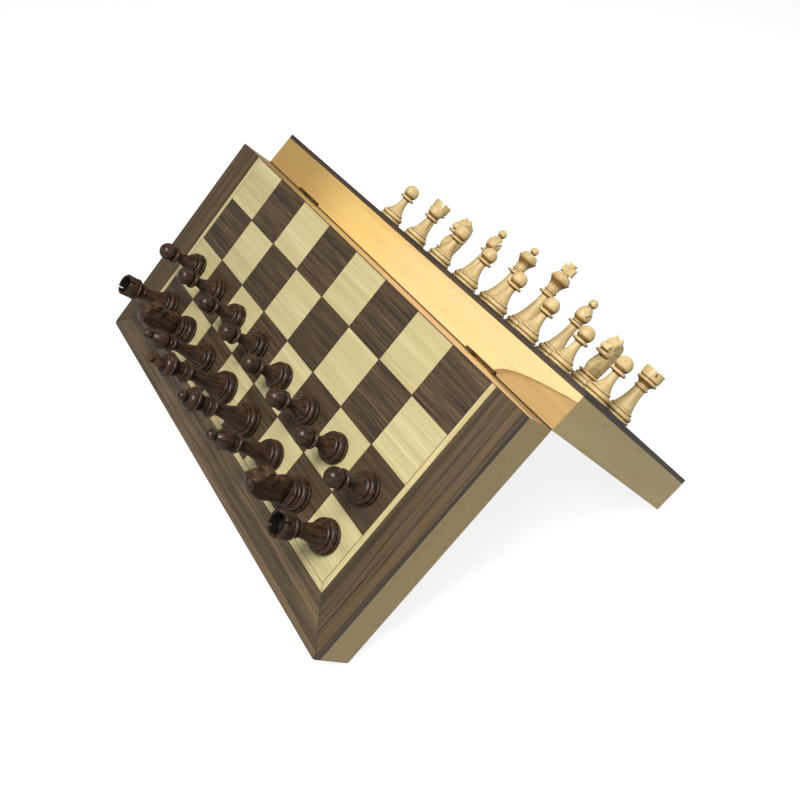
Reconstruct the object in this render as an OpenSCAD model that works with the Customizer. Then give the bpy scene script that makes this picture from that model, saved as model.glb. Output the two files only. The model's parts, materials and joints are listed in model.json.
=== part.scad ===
// Folding magnetic chess set: two shallow wooden half cases, hinged along
// their spines and stood up as a tent, with sixteen pieces on each half.
//
// Frame: the hinge pins lie along Y, the dark pieces' half slopes down to -X
// and the light pieces' half to +X, and z = 0 is the surface it stands on.
// Each half is drawn flat in its own local frame (x out from the spine,
// y along the hinge, z up from the rim) and is then folded down about the pins.

/* [Board] */
// Side of one playing square
square_l = 39.6; // [33:0.1:50]
// Width of the pale stringing round the squares
stringing_w = 4.1; // [2:0.1:8]
// Width of the walnut border
border_w = 28; // [20:0.5:34]
// Radius of the case's two outer corners, seen from above
corner_r = 3; // [1:0.5:6]
// How far the two halves are folded down from flat, in degrees
fold_angle = 93; // [60:1:120]

/* [Case] */
// Height of one half, from its rim to its playing surface
half_h = 29.5; // [26:0.5:38]
// Thickness of the case walls
wall_t = 9; // [8.6:0.1:13]
// Thickness of the deck that closes each half
deck_t = 2.3; // [1.5:0.1:4]
// Thickness of the border, the stringing and the squares
inlay_t = 1.2; // [0.8:0.1:2]
// Thickness of the steel sheet let into the deck
steel_t = 0.5; // [0.3:0.1:0.9]
// How far the steel sheet stays back from the spine
steel_inset = 3; // [1:0.5:8]
// Thickness of the felt on the floor of each tray
felt_t = 1; // [0.5:0.1:2]
// Thickness of the felted divider rails
rail_t = 5; // [3:0.5:8]
// How far the divider rails stay below the rim
rail_drop = 2; // [1:0.5:6]
// Pockets along each tray
pockets = 3; // [2:1:5]

/* [Hinges] */
// Length of one hinge
hinge_l = 30; // [24:1:44]
// Distance of each hinge from the middle of the board
hinge_y = 118.8; // [60:0.1:140]
// Outer radius of the knuckles
knuckle_r = 2; // [1.6:0.1:2.6]
// Radius of the hinge pin
pin_r = 0.8; // [0.6:0.05:1]
// Width of a leaf, from the pin's axis
leaf_w = 7.6; // [6:0.1:8]
// Thickness of a leaf
leaf_t = 1; // [0.8:0.1:1.4]
// Radius of a hinge screw's shank
screw_r = 0.9; // [0.7:0.05:1.1]
// Length of a hinge screw
screw_l = 9; // [6:0.5:14]
// Gap left between the two halves when they are closed or flat
fold_gap = 0.3; // [0.2:0.05:0.6]

/* [Magnets] */
// Radius of a piece's magnet
magnet_r = 4.5; // [3:0.1:6]
// Height of a piece's magnet
magnet_h = 3; // [2:0.5:5]
// Radius of a closing magnet in the rim
rim_magnet_r = 3; // [2:0.1:3.5]
// Height of a closing magnet
rim_magnet_h = 2.5; // [1.5:0.5:5]
// Distance of the closing magnets from the middle of the board
rim_magnet_y = 120; // [60:1:150]

/* [Pieces] */
// Height of a king over its cross
king_h = 70; // [64:0.5:84]
// Height of a queen
queen_h = 63; // [57:0.5:76]
// Height of a bishop
bishop_h = 58.5; // [50:0.5:70]
// Height of a knight
knight_h = 47.5; // [44:0.5:56]
// Height of a rook
rook_h = 44.3; // [40:0.5:54]
// Height of a pawn
pawn_h = 37.3; // [34:0.5:46]
// Base radius of a king
king_r = 12.8; // [11.5:0.1:15]
// Base radius of a queen
queen_r = 12.5; // [11.5:0.1:15]
// Base radius of a bishop
bishop_r = 11.4; // [10.5:0.1:14]
// Base radius of a knight
knight_r = 11.8; // [11:0.1:14]
// Base radius of a rook
rook_r = 11.7; // [10.8:0.1:14]
// Base radius of a pawn
pawn_r = 10.6; // [9.5:0.1:13]
// Thickness of the felt pad under a piece
pad_t = 0.8; // [0.4:0.1:1.5]
// Gap between a standing piece's pad and the squares
stand_gap = 0.2; // [0.1:0.05:0.5]

/* [Hidden] */
$fn = 64;
LENGTH = 8 * square_l + 2 * (stringing_w + border_w);
WIDTH = 4 * square_l + stringing_w + border_w;
CASE_H = half_h - deck_t - inlay_t;
SLOPE = fold_angle / 2;
AXIS_OFF = fold_gap / 2;
PIN_Z = (WIDTH + AXIS_OFF) * sin(SLOPE) - AXIS_OFF * cos(SLOPE);
FIT = 0.05;
SEAM = 0.06;
KNUCKLE_GAP = 0.3;
RECESS_R = knuckle_r + 0.4;
PIN_HEAD_T = 0.6;
PIN_HEAD_LIP = 0.6;
KNUCKLE_L = hinge_l / 3;
HINGE_SCREW_SPREAD = hinge_l * 0.32;
SCREW_X = (RECESS_R + leaf_w) / 2;
SLOT_W = 0.4;
SLOT_DEEP = 0.4;
// a cut runs this far past the face that it opens
OVER = 1;
// the foot that every piece shares, in heights from the square
PLINTH_TOP = 2.3;
BEAD_FOOT = 2.6;
BEAD_H = 4.4;
SHOULDER_FOOT = 6.6;
FOOT_TOP = 9.2;
STEM_STEP = 3.4;

SIDES = ["dark_side", "light_side"];
SIDE_PARTS = ["spine_wall", "outer_wall", "end_walls", "deck", "steel_sheet", "border",
    "stringing", "walnut_squares", "maple_squares", "tray_insert", "closing_magnets",
    "hinge_leaves", "hinge_screws"];
BACK_ROW = ["kings_rook", "kings_knight", "kings_bishop", "king", "queen",
    "queens_bishop", "queens_knight", "queens_rook"];
TONES = ["dark", "light"];

// ---------------------------------------------------------------- placing

// Folds a flat half down about the pins. The dark half is the light half
// turned half a turn about the upright axis, as the two are cut alike.
module fold_down(side) {
    translate([0, 0, PIN_Z])
        rotate([0, 0, side == "dark_side" ? 180 : 0])
            rotate([0, SLOPE, 0])
                children();
}

// From the pins' frame to a half's own: spine face at x = 0, rim at z = 0
module on_half(side) {
    fold_down(side) translate([AXIS_OFF, 0, AXIS_OFF]) children();
}

// Stands a piece on a square, counted from the kings' end and from the spine
module on_square(tone, file, rank) {
    on_half(str(tone, "_side"))
        translate([(rank - 0.5) * square_l, (file - 4.5) * square_l, half_h + stand_gap])
            children();
}

// ------------------------------------------------------------------- case

// The plan of a half, square at the spine and rounded at its outer corners
module rounded_plan(h) {
    x1 = WIDTH - corner_r;
    y1 = LENGTH / 2 - corner_r;
    translate([0, -LENGTH / 2, 0]) cube([x1, LENGTH, h]);
    translate([0, -y1, 0]) cube([WIDTH, 2 * y1, h]);
    for (y = [-y1, y1]) translate([x1, y, 0]) cylinder(r = corner_r, h = h);
}

// A straight strip with mitred ends along an edge that runs in y
module side_strip(x_out, x_in, h, cut, seam = 0) {
    inset = abs(x_in - x_out);
    y = LENGTH / 2 - cut - seam;
    linear_extrude(h)
        polygon([[x_out, -y], [x_out, y], [x_in, y - inset], [x_in, -y + inset]]);
}

// A strip across the far end, mitred at the outer corner only or at both
module end_strip(w, h, cut, square_spine) {
    y = LENGTH / 2 - cut;
    spine = square_spine ? 0 : w;
    linear_extrude(h)
        polygon([[0, y], [WIDTH - cut, y], [WIDTH - cut - w, y - w], [spine, y - w]]);
}

module both_ends() {
    children();
    mirror([0, 1, 0]) children();
}

module spine_wall() {
    color([0.90, 0.73, 0.45])
        difference() {
            intersection() {
                side_strip(0, wall_t, CASE_H, 0);
                rounded_plan(CASE_H);
            }
            for (y = [-hinge_y, hinge_y]) {
                // trough that the knuckles turn in
                translate([-AXIS_OFF, y, -AXIS_OFF])
                    rotate([90, 0, 0])
                        cylinder(r = RECESS_R, h = hinge_l + 4 * PIN_HEAD_T, center = true);
                // bed of the leaf
                translate([-OVER, y - hinge_l / 2 - FIT, -OVER])
                    cube([leaf_w - AXIS_OFF + OVER + FIT, hinge_l + 2 * FIT, leaf_t + OVER]);
                // pilot holes of its screws
                for (s = [-1, 1])
                    translate([SCREW_X - AXIS_OFF, y + s * HINGE_SCREW_SPREAD, -OVER])
                        cylinder(r = screw_r, h = screw_l + OVER);
            }
        }
}

module outer_wall() {
    color([0.86, 0.78, 0.60])
        difference() {
            intersection() {
                side_strip(WIDTH, WIDTH - wall_t, CASE_H, 0);
                rounded_plan(CASE_H);
            }
            for (y = [-rim_magnet_y, rim_magnet_y])
                translate([WIDTH - wall_t / 2, y, -OVER])
                    cylinder(r = rim_magnet_r + FIT, h = rim_magnet_h + OVER);
        }
}

module end_walls() {
    color([0.86, 0.78, 0.60])
        both_ends()
            intersection() {
                end_strip(wall_t, CASE_H, 0, false);
                rounded_plan(CASE_H);
            }
}

module closing_magnets() {
    color([0.7, 0.71, 0.73])
        for (y = [-rim_magnet_y, rim_magnet_y])
            translate([WIDTH - wall_t / 2, y, 0])
                cylinder(r = rim_magnet_r, h = rim_magnet_h);
}

module deck() {
    bed_x = 4 * square_l - steel_inset + 2 * FIT;
    bed_y = 8 * square_l + 2 * FIT;
    color([0.30, 0.22, 0.16])
        translate([0, 0, CASE_H])
            difference() {
                rounded_plan(deck_t);
                translate([steel_inset - FIT, -bed_y / 2, deck_t - steel_t])
                    cube([bed_x, bed_y, steel_t + OVER]);
            }
}

module steel_sheet() {
    color([0.62, 0.64, 0.66])
        translate([steel_inset, -4 * square_l, CASE_H + deck_t - steel_t])
            cube([4 * square_l - steel_inset, 8 * square_l, steel_t]);
}

module border() {
    color([0.42, 0.32, 0.24])
        translate([0, 0, CASE_H + deck_t])
            intersection() {
                union() {
                    side_strip(WIDTH, WIDTH - border_w, inlay_t, 0, SEAM);
                    both_ends() end_strip(border_w, inlay_t, 0, true);
                }
                rounded_plan(inlay_t);
            }
}

module stringing() {
    color([0.88, 0.80, 0.60])
        translate([0, 0, CASE_H + deck_t]) {
            side_strip(WIDTH - border_w, 4 * square_l, inlay_t, border_w, SEAM);
            both_ends() end_strip(stringing_w, inlay_t, border_w, true);
        }
}

// Squares of one wood: parity 0 holds the corner at the kings' end and spine
module squares(parity) {
    translate([0, -4 * square_l, CASE_H + deck_t])
        for (file = [0:7])
            for (rank = [0:3])
                if ((file + rank) % 2 == parity)
                    translate([rank * square_l, file * square_l + SEAM / 2, 0])
                        cube([square_l - SEAM, square_l - SEAM, inlay_t]);
}

module walnut_squares() {
    color([0.29, 0.22, 0.18]) squares(1);
}

module maple_squares() {
    color([0.85, 0.77, 0.57]) squares(0);
}

// Felted floor with divider rails, one moulding that drops into the tray
module tray_insert() {
    x0 = wall_t;
    x1 = WIDTH - wall_t;
    y1 = LENGTH / 2 - wall_t;
    rail_h = CASE_H - rail_drop;
    pitch = (2 * y1 + rail_t) / pockets;
    color([0.10, 0.30, 0.18]) {
        translate([x0, -y1, CASE_H - felt_t]) cube([x1 - x0, 2 * y1, felt_t]);
        translate([(x0 + x1 - rail_t) / 2, -y1, rail_drop]) cube([rail_t, 2 * y1, rail_h]);
        for (k = [1:pockets - 1])
            translate([x0, -y1 + k * pitch - rail_t, rail_drop])
                cube([x1 - x0, rail_t, rail_h]);
    }
}

// ----------------------------------------------------------------- hinges

// Drawn about the pins' axis, so that both leaves share it
module knuckle(y, l) {
    translate([0, y, 0]) rotate([90, 0, 0]) cylinder(r = knuckle_r, h = l, center = true);
}

module knuckle_room(y, l) {
    translate([0, y, 0])
        rotate([90, 0, 0])
            cylinder(r = knuckle_r + KNUCKLE_GAP, h = l + 2 * KNUCKLE_GAP, center = true);
}

// A leaf with either the middle knuckle or the two end knuckles
module hinge_leaf(middle) {
    own = middle ? [0] : [-KNUCKLE_L, KNUCKLE_L];
    other = middle ? [-KNUCKLE_L, KNUCKLE_L] : [0];
    own_l = middle ? KNUCKLE_L - 2 * KNUCKLE_GAP : KNUCKLE_L;
    other_l = middle ? KNUCKLE_L : KNUCKLE_L - 2 * KNUCKLE_GAP;
    difference() {
        union() {
            difference() {
                translate([0, -hinge_l / 2, AXIS_OFF]) cube([leaf_w, hinge_l, leaf_t]);
                for (y = other) knuckle_room(y, other_l);
            }
            for (y = own) knuckle(y, own_l);
        }
        rotate([90, 0, 0]) cylinder(r = pin_r + FIT, h = 2 * hinge_l, center = true);
        for (s = [-1, 1])
            translate([SCREW_X, s * HINGE_SCREW_SPREAD, AXIS_OFF])
                cylinder(r1 = screw_r + leaf_t + FIT, r2 = screw_r + FIT, h = leaf_t);
    }
}

module hinge_leaves(side) {
    color([0.80, 0.65, 0.33])
        fold_down(side)
            for (y = [-hinge_y, hinge_y])
                translate([0, y, 0]) hinge_leaf(side == "light_side");
}

module hinge_screw() {
    head_r = screw_r + leaf_t;
    difference() {
        union() {
            cylinder(r1 = head_r, r2 = screw_r, h = leaf_t);
            cylinder(r = screw_r, h = screw_l);
        }
        // driver slot
        translate([-head_r, -SLOT_W / 2, -OVER]) cube([2 * head_r, SLOT_W, OVER + SLOT_DEEP]);
    }
}

module hinge_screws(side) {
    color([0.72, 0.60, 0.34])
        fold_down(side)
            for (y = [-hinge_y, hinge_y])
                for (s = [-1, 1])
                    translate([SCREW_X, y + s * HINGE_SCREW_SPREAD, AXIS_OFF]) hinge_screw();
}

module hinge_pins() {
    color([0.72, 0.60, 0.34])
        for (y = [-hinge_y, hinge_y])
            translate([0, y, PIN_Z])
                rotate([90, 0, 0]) {
                    cylinder(r = pin_r, h = hinge_l, center = true);
                    for (s = [-1, 1])
                        translate([0, 0, s * (hinge_l + PIN_HEAD_T) / 2])
                            cylinder(r = pin_r + PIN_HEAD_LIP, h = PIN_HEAD_T, center = true);
                }
}

// ----------------------------------------------------------------- pieces
// Profiles are drawn as radius against height, and are turned about the axis.

// Radius of the circle that leaves (0, 0) upright and passes through (d, h)
function sweep_r(d, h) = (d * d + h * h) / (2 * d);

// Hollow stem, upright where it meets the neck
module stem(foot_r, foot_z, neck_r, neck_z) {
    r = sweep_r(foot_r - neck_r, neck_z - foot_z);
    difference() {
        translate([0, foot_z]) square([foot_r, neck_z - foot_z]);
        translate([neck_r + r, neck_z]) circle(r, $fn = 128);
    }
}

// Hollow bell, upright at its waist, spreading upwards to its lip
module bell(lip_r, lip_z, waist_r, waist_z) {
    r = sweep_r(lip_r - waist_r, lip_z - waist_z);
    difference() {
        translate([0, waist_z]) square([lip_r, lip_z - waist_z]);
        translate([waist_r + r, waist_z]) circle(r, $fn = 128);
    }
}

// Full curve, upright at its belly, above or below it
module swell(belly_r, belly_z, end_r, end_z) {
    r = sweep_r(belly_r - end_r, abs(end_z - belly_z));
    intersection() {
        translate([0, min(belly_z, end_z)]) square([belly_r, abs(end_z - belly_z)]);
        translate([belly_r - r, belly_z]) circle(r, $fn = 128);
    }
}

// Band with a round edge
module band(r, z, h) {
    translate([0, z]) square([r - h / 2, h]);
    translate([r - h / 2, z + h / 2]) circle(d = h);
}

// The foot that every piece has: plinth, bead and shoulder
module foot(base_r) {
    groove_r = base_r - 0.3;
    translate([0, pad_t]) square([groove_r, BEAD_FOOT - pad_t]);
    band(base_r, pad_t, PLINTH_TOP - pad_t);
    band(groove_r, BEAD_FOOT, BEAD_H);
    band(base_r - 2.6, SHOULDER_FOOT, FOOT_TOP - SHOULDER_FOOT);
}

// Part of the profile that stands on the axis between two heights
module core(r, z0, z1) {
    translate([0, z0]) square([r, z1 - z0]);
}

// Ball on the axis, cut off below the neck it sits on
module ball(r, z, from_z) {
    intersection() {
        core(r, from_z, z + r);
        translate([0, z]) circle(r);
    }
}

// Sealed underside: magnet in its bore, and the felt pad over it
module underside(base_r) {
    pad_inset = 1;
    color([0.6, 0.61, 0.63]) translate([0, 0, pad_t]) cylinder(r = magnet_r, h = magnet_h);
    color([0.08, 0.24, 0.15]) cylinder(r = base_r - pad_inset, h = pad_t - FIT);
}

module magnet_bore() {
    translate([0, 0, pad_t - OVER]) cylinder(r = magnet_r + FIT, h = magnet_h + OVER + FIT);
}

function wood(tone) = tone == "dark" ? [0.27, 0.15, 0.10] : [0.90, 0.80, 0.58];

// Turns a profile and drills it for its magnet
module turned(tone, base_r) {
    color(wood(tone))
        difference() {
            rotate_extrude() children();
            magnet_bore();
        }
    underside(base_r);
}

module pawn(tone) {
    head_r = 6.5;
    neck_r = 3.3;
    collar_r = 7.2;
    collar_h = 2;
    // the head sinks a little into its collar
    sink = 1.1;
    head_z = pawn_h - head_r;
    collar_z = head_z - head_r - collar_h + sink;
    turned(tone, pawn_r) {
        foot(pawn_r);
        stem(pawn_r - STEM_STEP, FOOT_TOP, neck_r, collar_z);
        band(collar_r, collar_z, collar_h);
        ball(head_r, head_z, collar_z);
    }
}

module rook(tone) {
    neck_r = 4.8;
    rim_r = 8.4;
    lip_r = rim_r - 0.3;
    groove_r = rim_r - 0.9;
    wall_h = 6.6;
    cup_wall = 2.6;
    saw_w = 1.8;
    saw_deep = 4.2;
    wall_z = rook_h - wall_h;
    cup_z = wall_z - 3.2;
    lip_z = cup_z + 2;
    collar_z = cup_z - 4;
    color(wood(tone))
        difference() {
            rotate_extrude() {
                foot(rook_r);
                stem(rook_r - STEM_STEP, FOOT_TOP, neck_r, collar_z - 1);
                core(neck_r, collar_z - 2, collar_z + 2);
                band(neck_r + 0.9, collar_z - 1, 1.2);
                swell(lip_r, lip_z, neck_r, collar_z);
                core(lip_r, lip_z, lip_z + 1);
                core(groove_r, lip_z, wall_z + 1);
                core(rim_r, wall_z, rook_h);
            }
            magnet_bore();
            translate([0, 0, wall_z]) cylinder(r = rim_r - cup_wall, h = rook_h);
            for (a = [45, 135])
                rotate([0, 0, a])
                    translate([-rook_r, -saw_w / 2, rook_h - saw_deep])
                        cube([2 * rook_r, saw_w, saw_deep + OVER]);
        }
    underside(rook_r);
}

module bishop(tone) {
    ball_r = 3.8;
    tip_r = 1.9;
    belly_r = 6.9;
    cove_r = 4.4;
    neck_r = 3.7;
    collar_r = 7.1;
    collar_h = 1.8;
    saw_w = 1.1;
    saw_angle = 52;
    saw_l = 12;
    ball_z = bishop_h - ball_r;
    mitre_top = ball_z - 3.1;
    mitre_z = mitre_top - 8.4;
    mitre_foot = mitre_z - 5.6;
    collar_z = mitre_foot - 3.4;
    color(wood(tone))
        difference() {
            rotate_extrude() {
                foot(bishop_r);
                stem(bishop_r - STEM_STEP, FOOT_TOP, neck_r, collar_z);
                band(collar_r, collar_z, collar_h);
                core(cove_r, collar_z, mitre_foot + 0.5);
                swell(belly_r, mitre_z, cove_r, mitre_foot);
                swell(belly_r, mitre_z, tip_r, mitre_top);
                core(tip_r, mitre_z, ball_z);
                ball(ball_r, ball_z, mitre_top);
            }
            magnet_bore();
            // slot sawn across the shoulder of the mitre
            translate([-3.2, 0, mitre_z + 2.6])
                rotate([0, -saw_angle, 0])
                    translate([-saw_l, -saw_l, 0]) cube([saw_l, 2 * saw_l, saw_w]);
        }
    underside(bishop_r);
}

// Crown shared by the king and the queen: collar, cove, ring, bell and dome
module crown(neck_r, collar_r, rim_r, rim_z, dome_top, tip_r) {
    bell_z = rim_z - 9.8;
    collar_z = bell_z - 5.2;
    waist_r = neck_r + 0.8;
    rim_h = 1.9;
    band(collar_r, collar_z, 1.6);
    core(waist_r, collar_z, bell_z + 1);
    band(collar_r - 2.2, bell_z - 1.2, 1.4);
    bell(rim_r - 0.4, rim_z, waist_r, bell_z);
    band(rim_r, rim_z, rim_h);
    swell(rim_r - 1.2, rim_z + rim_h - 0.4, tip_r, dome_top);
}

module queen(tone) {
    ball_r = 3.6;
    tip_r = 1.9;
    neck_r = 4.1;
    ball_z = queen_h - ball_r;
    dome_top = ball_z - 3;
    rim_z = dome_top - 6.2;
    turned(tone, queen_r) {
        foot(queen_r);
        stem(queen_r - STEM_STEP, FOOT_TOP, neck_r, rim_z - 15);
        crown(neck_r, 8.1, 8.9, rim_z, dome_top, tip_r);
        core(tip_r, dome_top - 2, ball_z);
        ball(ball_r, ball_z, dome_top);
    }
}

// Cross with arms that widen towards their ends
module cross(arm) {
    waist = 1.3;
    tip = 2.3;
    thick = 3.4;
    rotate([90, 0, 0])
        linear_extrude(thick, center = true)
            for (a = [0:90:270])
                rotate(a)
                    polygon([[-waist, 0], [-tip, arm], [tip, arm], [waist, 0]]);
}

module king(tone) {
    arm = 5.2;
    tip_r = 1.9;
    neck_r = 4.3;
    cross_z = king_h - arm;
    dome_top = cross_z - 3.6;
    rim_z = dome_top - 6.2;
    color(wood(tone))
        difference() {
            union() {
                rotate_extrude() {
                    foot(king_r);
                    stem(king_r - STEM_STEP, FOOT_TOP, neck_r, rim_z - 15);
                    crown(neck_r, 8.4, 9.2, rim_z, dome_top, tip_r);
                    core(tip_r, dome_top - 2, dome_top + 0.6);
                }
                translate([0, 0, cross_z]) rotate([0, 0, 90]) cross(arm);
            }
            magnet_bore();
        }
    underside(king_r);
}

// Points along an arc from one angle to another
function arc(cx, cy, r, from, to, n = 8) = [
    for (k = [0:n])
        let(a = from + (to - from) * k / n)
            [cx + r * cos(a), cy + r * sin(a)]
];

// Horse's head in side view, facing -x, measured down from the ears
module horse_outline(foot_z) {
    neck = 7.6;
    polygon(concat(
        [[neck, foot_z], [-neck, foot_z], [-9.8, foot_z + 5.4], [-3.6, -19.4]],
        arc(-8.6, -15.2, 2.6, 250, 120, 6),
        [[-6.2, -5.6], [-3.4, -3.2], [-2.2, 0], [0, -3]],
        arc(-1.6, -14.8, 11.2, 80, -10, 8)));
}

module knight(tone) {
    half_t = 5.6;
    ring_h = 2.2;
    neck_z = FOOT_TOP + 3;
    muzzle_x = 9;
    muzzle_y = 7.6;
    muzzle_h = 24;
    chamfer_angle = 14;
    chamfer = [20, 4, 30];
    color(wood(tone))
        difference() {
            union() {
                rotate_extrude() {
                    foot(knight_r);
                    core(knight_r - STEM_STEP, FOOT_TOP - 1, FOOT_TOP + 1.4);
                    band(knight_r - 2.4, FOOT_TOP + 1, ring_h);
                }
                translate([0, 0, knight_h])
                    rotate([90, 0, 0])
                        linear_extrude(2 * half_t, center = true) horse_outline(neck_z - knight_h);
            }
            magnet_bore();
            // chamfers that narrow the muzzle
            for (s = [-1, 1])
                translate([-muzzle_x, s * muzzle_y, knight_h - muzzle_h])
                    rotate([0, 0, s * chamfer_angle])
                        translate([-chamfer.x / 2, -chamfer.y / 2, 0]) cube(chamfer);
        }
    underside(knight_r);
}

// A back-row piece by its name
module back_piece(name, tone) {
    if (name == "king") king(tone);
    if (name == "queen") queen(tone);
    if (name == "kings_bishop" || name == "queens_bishop") bishop(tone);
    if (name == "kings_knight" || name == "queens_knight") knight(tone);
    if (name == "kings_rook" || name == "queens_rook") rook(tone);
}

// ---------------------------------------------------------------- drawing

for (side = SIDES) {
    on_half(side) spine_wall();
    on_half(side) outer_wall();
    on_half(side) end_walls();
    on_half(side) deck();
    on_half(side) steel_sheet();
    on_half(side) border();
    on_half(side) stringing();
    on_half(side) walnut_squares();
    on_half(side) maple_squares();
    on_half(side) tray_insert();
    on_half(side) closing_magnets();
    hinge_leaves(side);
    hinge_screws(side);
}
hinge_pins();
for (tone = TONES) {
    for (n = [0:7])
        on_square(tone, n + 1, 4) back_piece(BACK_ROW[n], tone);
    for (n = [1:8])
        on_square(tone, n, 3) pawn(tone);
}
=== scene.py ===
# %% [markdown]
# # A folding chess set, stood up like a tent
# Two shallow wooden half cases are hinged along their spines and stand on their
# outer edges, with sixteen magnetic pieces holding on to each sloping board.
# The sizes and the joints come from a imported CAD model, which loads first and
# stays as it is. What is made here is what the eye wants: softened edges, turned
# and carved pieces, wood that looks like wood, felt, brass, light and a camera.

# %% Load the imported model
import json
import math

import bpy
from mathutils import Matrix, Vector

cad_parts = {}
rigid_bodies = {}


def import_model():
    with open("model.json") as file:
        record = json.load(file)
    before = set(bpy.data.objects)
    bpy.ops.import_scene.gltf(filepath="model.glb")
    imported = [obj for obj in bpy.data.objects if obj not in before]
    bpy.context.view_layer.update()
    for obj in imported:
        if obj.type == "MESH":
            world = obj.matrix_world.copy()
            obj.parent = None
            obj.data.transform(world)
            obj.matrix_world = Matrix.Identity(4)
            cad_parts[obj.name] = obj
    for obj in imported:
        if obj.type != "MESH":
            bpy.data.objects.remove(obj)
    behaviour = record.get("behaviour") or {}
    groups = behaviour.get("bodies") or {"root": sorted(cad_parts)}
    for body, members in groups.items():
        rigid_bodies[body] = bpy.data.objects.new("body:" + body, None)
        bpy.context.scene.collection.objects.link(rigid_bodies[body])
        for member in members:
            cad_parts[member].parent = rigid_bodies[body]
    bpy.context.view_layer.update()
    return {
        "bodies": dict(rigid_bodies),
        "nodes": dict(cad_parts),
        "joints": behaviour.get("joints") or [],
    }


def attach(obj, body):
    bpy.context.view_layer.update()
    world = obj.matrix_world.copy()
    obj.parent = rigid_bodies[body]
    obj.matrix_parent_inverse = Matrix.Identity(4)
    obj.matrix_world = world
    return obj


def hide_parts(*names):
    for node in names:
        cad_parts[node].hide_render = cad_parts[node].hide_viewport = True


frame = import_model()
MM = 0.001

# %% [markdown]
# ## The camera
# The camera comes first, so that every later choice is judged from one place. It
# stands in front of the near end, a little to the left, and looks down into the
# open fold. The lens is a gentle 38 mm and the horizon is rolled a few degrees,
# as it is when a camera is held by hand.

# %% Camera
CAMERA_PLACE = (-0.2717, -0.4399, 0.4623)
CAMERA_TURN = -33.74
CAMERA_DOWN = 40.76
CAMERA_ROLL = 3.88
CAMERA_LENS = 38.18


def aim_camera():
    """Adds the camera and turns it by its three angles, in degrees."""
    turn, down, roll = map(math.radians, (CAMERA_TURN, CAMERA_DOWN, CAMERA_ROLL))
    back = Vector((math.sin(turn) * math.cos(down),
                   -math.cos(turn) * math.cos(down), math.sin(down)))
    flat_right = Vector((0, 0, 1)).cross(back).normalized()
    flat_up = back.cross(flat_right)
    right = math.cos(roll) * flat_right + math.sin(roll) * flat_up
    up = back.cross(right)
    bpy.ops.object.camera_add()
    camera = bpy.context.object
    camera.name = "studio_camera"
    camera.data.lens = CAMERA_LENS
    axes = Matrix((right, up, back)).transposed().to_4x4()
    camera.matrix_world = Matrix.Translation(CAMERA_PLACE) @ axes
    bpy.context.scene.camera = camera
    return camera


camera = aim_camera()
bpy.context.scene.view_settings.view_transform = "Standard"
print("camera looks along", [round(x, 3) for x in -camera.matrix_world.col[2].xyz])

# %% [markdown]
# ## One flat set of axes for each half
# Each half is simple when it lies flat: x runs out from the spine, y along the
# hinge and z up from the rim. The fold turns those axes over. A matrix for each
# half keeps both views of it: it places flat work on the slope, and its inverse
# lays a CAD node flat, so that a plain box around it gives its real sizes.

# %% The axes of the two halves
SIDES = ("dark", "light")
joints = {joint["name"]: joint for joint in frame["joints"]}
pin_height = joints["board_fold"]["pos_m"][2]
lift_way = joints["light_king_lift"]["axis"]
slope = math.atan2(lift_way[0], lift_way[2])


def laid_flat(node, axes):
    """Lowest and highest corner of a CAD node in the axes of its half."""
    back = axes.inverted()
    points = [back @ v.co for v in frame["nodes"][node].data.vertices]
    low = Vector(min(p[i] for p in points) for i in range(3))
    high = Vector(max(p[i] for p in points) for i in range(3))
    return low, high


half_axes = {}
for side in SIDES:
    turned = Matrix.Rotation(math.pi if side == "dark" else 0, 4, "Z")
    about_pins = (Matrix.Translation((0, 0, pin_height)) @ turned
                  @ Matrix.Rotation(slope, 4, "Y"))
    corner = laid_flat(side + "_side_spine_wall", about_pins)[0]
    half_axes[side] = about_pins @ Matrix.Translation((corner.x, 0, corner.z))
print("slope in degrees:", round(math.degrees(slope), 2))

# %% The sizes that the looks follow
flat = {name: laid_flat("light_side_" + name, half_axes["light"])
        for name in ("border", "stringing", "walnut_squares")}
board_width = flat["border"][1].x
half_length = flat["border"][1].y
square_size = round(flat["walnut_squares"][1].y - flat["walnut_squares"][0].y, 4) / 8
string_edge = flat["stringing"][1].x
print("half: %.1f x %.1f mm, squares %.1f mm" % (
    board_width / MM, 2 * half_length / MM, square_size / MM))

# %% [markdown]
# ## Working in edit mode from code
# Blender's operators act on whatever is selected, so each job starts with
# nothing selected and says what it takes. These small helpers do only that:
# clear the selection, open and close edit mode, and apply a modifier.

# %% Small helpers
def clear_selection():
    """Leaves edit mode and selects nothing."""
    if bpy.context.object and bpy.context.object.mode != "OBJECT":
        bpy.ops.object.mode_set(mode="OBJECT")
    bpy.ops.object.select_all(action="DESELECT")


def pick(piece):
    """Makes one piece the only selected and the active one."""
    clear_selection()
    piece.select_set(True)
    bpy.context.view_layer.objects.active = piece


def edit_all(piece):
    """Opens a piece in edit mode with everything selected."""
    pick(piece)
    bpy.ops.object.mode_set(mode="EDIT")
    bpy.ops.mesh.select_all(action="SELECT")


def apply_modifier(piece, kind, **settings):
    """Adds one modifier with its settings and applies it."""
    pick(piece)
    modifier = piece.modifiers.new(kind.title(), kind)
    for key, value in settings.items():
        setattr(modifier, key, value)
    bpy.ops.object.modifier_apply(modifier=modifier.name)


def cut_with(piece, cutter, operation="DIFFERENCE"):
    """Cuts a piece with another, or joins them, and drops the cutter."""
    apply_modifier(piece, "BOOLEAN", object=cutter, operation=operation, solver="EXACT")
    bpy.data.objects.remove(cutter)


def smooth(piece, degrees=35):
    """Smooth shading that keeps the edges sharper than the angle."""
    pick(piece)
    bpy.ops.object.shade_smooth_by_angle(angle=math.radians(degrees))


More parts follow.
